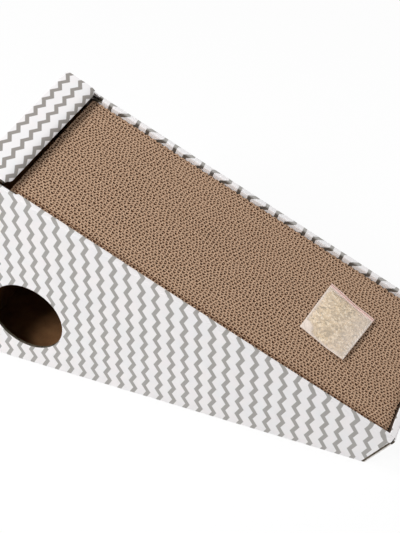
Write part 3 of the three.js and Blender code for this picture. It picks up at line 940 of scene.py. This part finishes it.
def zipMaterial(name):  # polyethylene zip: a pale band with a printed pink line on each ridge
    material, tree = newMaterial(name)
    place = addTone(tree)  # across the strip
    masks = [addMath(tree, "MULTIPLY", addMath(tree, "COMPARE", place, line, width), strength)
             for line, width, strength in bag["zipLines"]]
    colour = addMix(tree, addMath(tree, "MAXIMUM", *masks), bag["zipBand"], bag["zipLine"])
    addSurface(tree, {"Base Color": colour, "Roughness": 0.35, "Alpha": 0.92})
    return material


herb = herbMaterial("dried_catnip")
film = filmMaterial("polyethylene_film")
zipPlastic = zipMaterial("pink_line_zip_polyethylene")
sheet = blowUp(bag["width"], pouchLength, *bag["grid"])
sheet[..., 1] += (pouchEnd - bagHalf) / 2
sheet[..., 2] *= bag["crown"] / sheet[..., 2].max()
filmLow, filmEdge = bag["filmFoot"]
filmA, filmB, filmTop = sheet[..., 0], sheet[..., 1], filmEdge + np.maximum(sheet[..., 2], 0)
cornerAway = np.hypot(filmA + bag["width"] / 2, filmB + bagHalf)
milky = np.maximum(np.clip(1 - (filmTop - filmEdge) / bag["close"], 0, 1),
                   1 - smoothStep(cornerAway, *bag["milkyCorner"]))
milky = np.maximum(milky, bag["milkySide"] * smoothStep(filmA, *bag["milkyRun"]))
pouch = closedSheets("pouch_film", filmA, filmB, filmTop, filmLow, film, milky)
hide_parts("catnip_pouch")

heapA, heapB = filmA[1:-1, 1:-1], filmB[1:-1, 1:-1]  # inside the welded edge
nearness = 1 - cornerAway[1:-1, 1:-1] / (2 * bag["emptyCorner"])
push = bag["emptyCorner"] * np.clip(nearness, 0, 1) ** 2
inwards = np.array([bag["width"], pouchLength]) / math.hypot(bag["width"], pouchLength)
heapA, heapB = heapA + push * inwards[0], heapB + push * inwards[1]
heapLow, heapEdge = bag["heapFoot"]
heapRise = bag["heapShare"] * (filmTop[1:-1, 1:-1] - filmEdge)
heapTop = heapEdge + heapRise * (1 - np.sqrt(push / bag["emptyCorner"]))
heap = closedSheets("catnip_heap", heapA, heapB, heapTop, heapLow, herb)
print("pouch blown up, crown %.1f mm, width %.1f mm" % (filmTop.max(), np.ptp(filmA)))

# zip strip: two ridges side by side on a flat band, run along the bag's far edge
zipRun = {
    "from": bagHalf - bag["zipInside"],
    "to": bagHalf - 0.2,
    "band": 0.6,
    "bottom": 0.1,
    "ridge": 0.45,
    "ridges": (0.35, 0.68),  # their places across the strip
    "ridgeWidth": 0.09,
    "ripple": 0.35,  # the strip lies a little wavy, mm
    "rippleRun": 9.0,
    "columns": 33,
    "steps": 40,
    "sharp": 50,
}
zipAcross = np.linspace(zipRun["from"], zipRun["to"], zipRun["columns"])
zipShare = (zipAcross - zipRun["from"]) / (zipRun["to"] - zipRun["from"])
ridges = sum(np.exp(-((zipShare - place) / zipRun["ridgeWidth"]) ** 2) for place in zipRun["ridges"])
zipTop = zipRun["band"] + zipRun["ridge"] * ridges
zipB = np.concatenate([zipAcross, zipAcross[::-1]])[None, :]
zipH = np.concatenate([zipTop, zipRun["bottom"] + 0 * zipTop])[None, :]
zipA = np.linspace(-bag["width"] / 2, bag["width"] / 2, zipRun["steps"])[:, None]
zipLift = zipRun["ripple"] * np.sin(zipA / zipRun["rippleRun"]) ** 2
zipPoints = onBag(zipA + 0 * zipB, zipB + 0 * zipA, zipH + zipLift).reshape(-1, 3)
zipTone = np.tile(np.concatenate([zipShare, zipShare[::-1]]), zipRun["steps"])
zipQuads = tubeQuads(zipRun["steps"], zipB.size)
zipPiece = makePiece("zip_strip", zipPoints, zipQuads, [zipPlastic], tone=zipTone)
turnOutward(zipPiece, zipRun["sharp"])
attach(zipPiece, "bag")
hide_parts("bag_zip")
print("bag filled")

# pale floor, world and lamps
studio = {
    "floor": "fbfbfb",
    "white": "ffffff",
    "floorReach": 6.0,
    "floorLevel": -0.0004,
    "floorGlow": 0.92,  # how much of the seen floor is even white
    "world": 0.18,
    "lamps": (("key_lamp", 22.1, (-0.93, -0.1, 2.0), 0.6),  # name, power, place and size
              ("fill_lamp", 29.5, (-0.9, -1.4, 1.6), 0.9),
              ("front_lamp", 14.5, (1.7, 0.9, 0.45), 0.9)),
    "target": (0, 0, 0.12),
}


def straightRays(tree):  # 1 for what the camera sees, directly, mirrored or through the film
    rays = addNode(tree, "LightPath").outputs
    seen = addMath(tree, "MAXIMUM", rays["Is Camera Ray"], rays["Is Glossy Ray"])
    return addMath(tree, "MAXIMUM", seen, rays["Is Transmission Ray"])


floorMesh = bpy.data.meshes.new("studio_floor")
floorCorners = [(x * studio["floorReach"], y * studio["floorReach"], studio["floorLevel"])
                for x, y in ((-1, -1), (1, -1), (1, 1), (-1, 1))]
floorMesh.from_pydata(floorCorners, [], [(0, 1, 2, 3)])
floorObject = bpy.data.objects.new("studio_floor", floorMesh)
scene.collection.objects.link(floorObject)
floorMaterial, tree = newMaterial("white_paper_sweep")
share = addMath(tree, "MULTIPLY", straightRays(tree), studio["floorGlow"])
matte = addNode(tree, "BsdfDiffuse", {"Color": toLinear(studio["floor"])})
glow = addNode(tree, "Emission", {"Color": toLinear(studio["white"]), "Strength": 1.0})
sweep = addNode(tree, "MixShader", {0: share, 1: matte.outputs[0], 2: glow.outputs[0]})
addNode(tree, "OutputMaterial", {"Surface": sweep.outputs[0]})
floorMesh.materials.append(floorMaterial)

world = bpy.data.worlds.new("studio_world")
scene.world = world
world.use_nodes = True
tree = world.node_tree
tree.nodes.clear()
strength = addRange(tree, straightRays(tree), 0.0, 1.0, studio["world"], 1.0)
sky = addNode(tree, "Background", {"Color": toLinear(studio["white"]), "Strength": strength})
addNode(tree, "OutputWorld", {"Surface": sky.outputs[0]})

for lampName, power, place, size in studio["lamps"]:
    lamp = bpy.data.lights.new(lampName, "AREA")
    lamp.energy, lamp.size = power, size
    lampObject = bpy.data.objects.new(lampName, lamp)
    scene.collection.objects.link(lampObject)
    away = np.array(place) - np.array(studio["target"])
    lampObject.location = place
    lampObject.rotation_euler = (math.atan2(math.hypot(away[0], away[1]), away[2]), 0,
                                 math.atan2(away[0], -away[1]))

# the photograph's view, solved from the print's even pitch
view = {
    "place": (0.399405, -0.895640, 0.931585),
    "turn": (50.21398, 1.13722, 23.23603),
    "lens": 79.661,
    "sensor": 36.0,
    "clip": (0.05, 30.0),
}
camera = bpy.data.cameras.new("photo_view")
camera.lens, camera.sensor_width, camera.sensor_fit = view["lens"], view["sensor"], "AUTO"
camera.clip_start, camera.clip_end = view["clip"]
cameraObject = bpy.data.objects.new("photo_view", camera)
cameraObject.location = view["place"]
cameraObject.rotation_euler = [math.radians(a) for a in view["turn"]]
scene.collection.objects.link(cameraObject)
scene.camera = cameraObject
print("studio lit")
